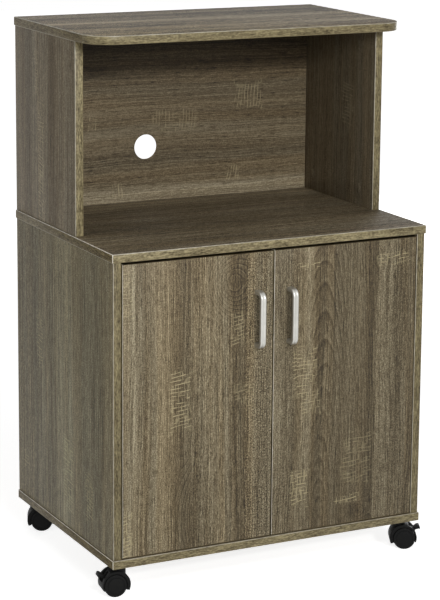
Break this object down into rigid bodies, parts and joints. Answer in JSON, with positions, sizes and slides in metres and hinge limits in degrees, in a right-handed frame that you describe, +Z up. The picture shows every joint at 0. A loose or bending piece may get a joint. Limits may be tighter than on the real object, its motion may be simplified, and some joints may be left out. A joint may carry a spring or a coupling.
{
  "type": "kitchen cart",
  "caption": "Low kitchen cart of wood-grain boards: an open hutch with a back panel and cable hole over a cabinet with swinging doors and bow handles, on swivel casters with brakes.",
  "frame": {"origin": "on the floor, in the middle of the cart's outline", "axes": "+Z up, +Y from the doors to the back, +X to the right seen from the front"},
  "size_m": [0.6341, 0.4544, 0.949],
  "materials": {
    "board": "particle board with a grey-brown oak-look melamine foil and matching edge bands",
    "door_board": "particle board with a grey-brown oak-look melamine foil, grain upright",
    "back_panel": "thin fibre board with a grey-brown oak-look foil, grain across",
    "dowel_wood": "raw beech",
    "satin_steel": "satin silver",
    "zinc_steel": "bright zinc plate",
    "black_steel": "black paint",
    "black_nylon": "moulded black nylon with a soft gloss"
  },
  "bodies": {
    "cart": {"top_board": "board", "hutch_left_side": "board", "hutch_right_side": "board", "hutch_back_panel": "back_panel", "counter_board": "board", "cabinet_left_side": "board", "cabinet_right_side": "board", "cabinet_back_panel": "back_panel", "bottom_board": "board", "cabinet_shelf": "board", "shelf_pins": "zinc_steel", "cam_locks": "zinc_steel", "cam_covers": "board", "cam_bolts": "zinc_steel", "wood_dowels": "dowel_wood", "left_hinge_plates": "zinc_steel", "right_hinge_plates": "zinc_steel", "left_hinge_arms": "zinc_steel", "right_hinge_arms": "zinc_steel", "hinge_plate_screws": "zinc_steel", "hinge_arm_screws": "zinc_steel", "caster_screws": "zinc_steel", "front_left_plate": "black_steel", "front_right_plate": "black_steel", "rear_left_plate": "black_steel", "rear_right_plate": "black_steel"},
    "left_door": {"left_door": "door_board", "left_handle": "satin_steel", "left_handle_screws": "zinc_steel", "left_hinge_cups": "zinc_steel", "left_hinge_pins": "zinc_steel", "left_cup_screws": "zinc_steel"},
    "right_door": {"right_door": "door_board", "right_handle": "satin_steel", "right_handle_screws": "zinc_steel", "right_hinge_cups": "zinc_steel", "right_hinge_pins": "zinc_steel", "right_cup_screws": "zinc_steel"},
    "front_left_caster": {"front_left_housing": "black_nylon", "front_left_axle": "zinc_steel", "front_left_brake_pin": "zinc_steel"},
    "front_left_near_wheel": {"front_left_near_wheel": "black_nylon"},
    "front_left_far_wheel": {"front_left_far_wheel": "black_nylon"},
    "front_left_brake_lever": {"front_left_brake_lever": "black_nylon"},
    "front_right_caster": {"front_right_housing": "black_nylon", "front_right_axle": "zinc_steel", "front_right_brake_pin": "zinc_steel"},
    "front_right_near_wheel": {"front_right_near_wheel": "black_nylon"},
    "front_right_far_wheel": {"front_right_far_wheel": "black_nylon"},
    "front_right_brake_lever": {"front_right_brake_lever": "black_nylon"},
    "rear_left_caster": {"rear_left_housing": "black_nylon", "rear_left_axle": "zinc_steel"},
    "rear_left_near_wheel": {"rear_left_near_wheel": "black_nylon"},
    "rear_left_far_wheel": {"rear_left_far_wheel": "black_nylon"},
    "rear_right_caster": {"rear_right_housing": "black_nylon", "rear_right_axle": "zinc_steel"},
    "rear_right_near_wheel": {"rear_right_near_wheel": "black_nylon"},
    "rear_right_far_wheel": {"rear_right_far_wheel": "black_nylon"}
  },
  "joints": [
    {"name": "left_door_hinge", "type": "hinge", "parent": "cart", "child": "left_door", "pos_m": [-0.269, -0.19575, 0.32675], "axis": [0, 0, -1], "range_deg": [0, 95]},
    {"name": "right_door_hinge", "type": "hinge", "parent": "cart", "child": "right_door", "pos_m": [0.269, -0.19575, 0.32675], "axis": [0, 0, 1], "range_deg": [0, 95]},
    {"name": "front_left_swivel", "type": "hinge", "parent": "cart", "child": "front_left_caster", "pos_m": [-0.278, -0.17475, 0.04], "axis": [0, 0, 1], "continuous": true},
    {"name": "front_left_near_wheel_spin", "type": "hinge", "parent": "front_left_caster", "child": "front_left_near_wheel", "pos_m": [-0.28741, -0.17343, 0.02], "axis": [-0.1392, -0.9903, 0], "continuous": true},
    {"name": "front_left_far_wheel_spin", "type": "hinge", "parent": "front_left_caster", "child": "front_left_far_wheel", "pos_m": [-0.28741, -0.17343, 0.02], "axis": [-0.1392, -0.9903, 0], "continuous": true},
    {"name": "front_left_brake", "type": "hinge", "parent": "front_left_caster", "child": "front_left_brake_lever", "pos_m": [-0.29484, -0.17238, 0.035], "axis": [-0.1392, -0.9903, 0], "range_deg": [0, 10]},
    {"name": "front_right_swivel", "type": "hinge", "parent": "cart", "child": "front_right_caster", "pos_m": [0.278, -0.17475, 0.04], "axis": [0, 0, 1], "continuous": true},
    {"name": "front_right_near_wheel_spin", "type": "hinge", "parent": "front_right_caster", "child": "front_right_near_wheel", "pos_m": [0.28654, -0.17891, 0.02], "axis": [0.4384, 0.8988, 0], "continuous": true},
    {"name": "front_right_far_wheel_spin", "type": "hinge", "parent": "front_right_caster", "child": "front_right_far_wheel", "pos_m": [0.28654, -0.17891, 0.02], "axis": [0.4384, 0.8988, 0], "continuous": true},
    {"name": "front_right_brake", "type": "hinge", "parent": "front_right_caster", "child": "front_right_brake_lever", "pos_m": [0.29328, -0.1822, 0.035], "axis": [0.4384, 0.8988, 0], "range_deg": [0, 10]},
    {"name": "rear_left_swivel", "type": "hinge", "parent": "cart", "child": "rear_left_caster", "pos_m": [-0.278, 0.19725, 0.04], "axis": [0, 0, 1], "continuous": true},
    {"name": "rear_left_near_wheel_spin", "type": "hinge", "parent": "rear_left_caster", "child": "rear_left_near_wheel", "pos_m": [-0.26919, 0.19369, 0.02], "axis": [0.3746, 0.9272, 0], "continuous": true},
    {"name": "rear_left_far_wheel_spin", "type": "hinge", "parent": "rear_left_caster", "child": "rear_left_far_wheel", "pos_m": [-0.26919, 0.19369, 0.02], "axis": [0.3746, 0.9272, 0], "continuous": true},
    {"name": "rear_right_swivel", "type": "hinge", "parent": "cart", "child": "rear_right_caster", "pos_m": [0.278, 0.19725, 0.04], "axis": [0, 0, 1], "continuous": true},
    {"name": "rear_right_near_wheel_spin", "type": "hinge", "parent": "rear_right_caster", "child": "rear_right_near_wheel", "pos_m": [0.28693, 0.194, 0.02], "axis": [0.342, 0.9397, 0], "continuous": true},
    {"name": "rear_right_far_wheel_spin", "type": "hinge", "parent": "rear_right_caster", "child": "rear_right_far_wheel", "pos_m": [0.28693, 0.194, 0.02], "axis": [0.342, 0.9397, 0], "continuous": true}
  ]
}
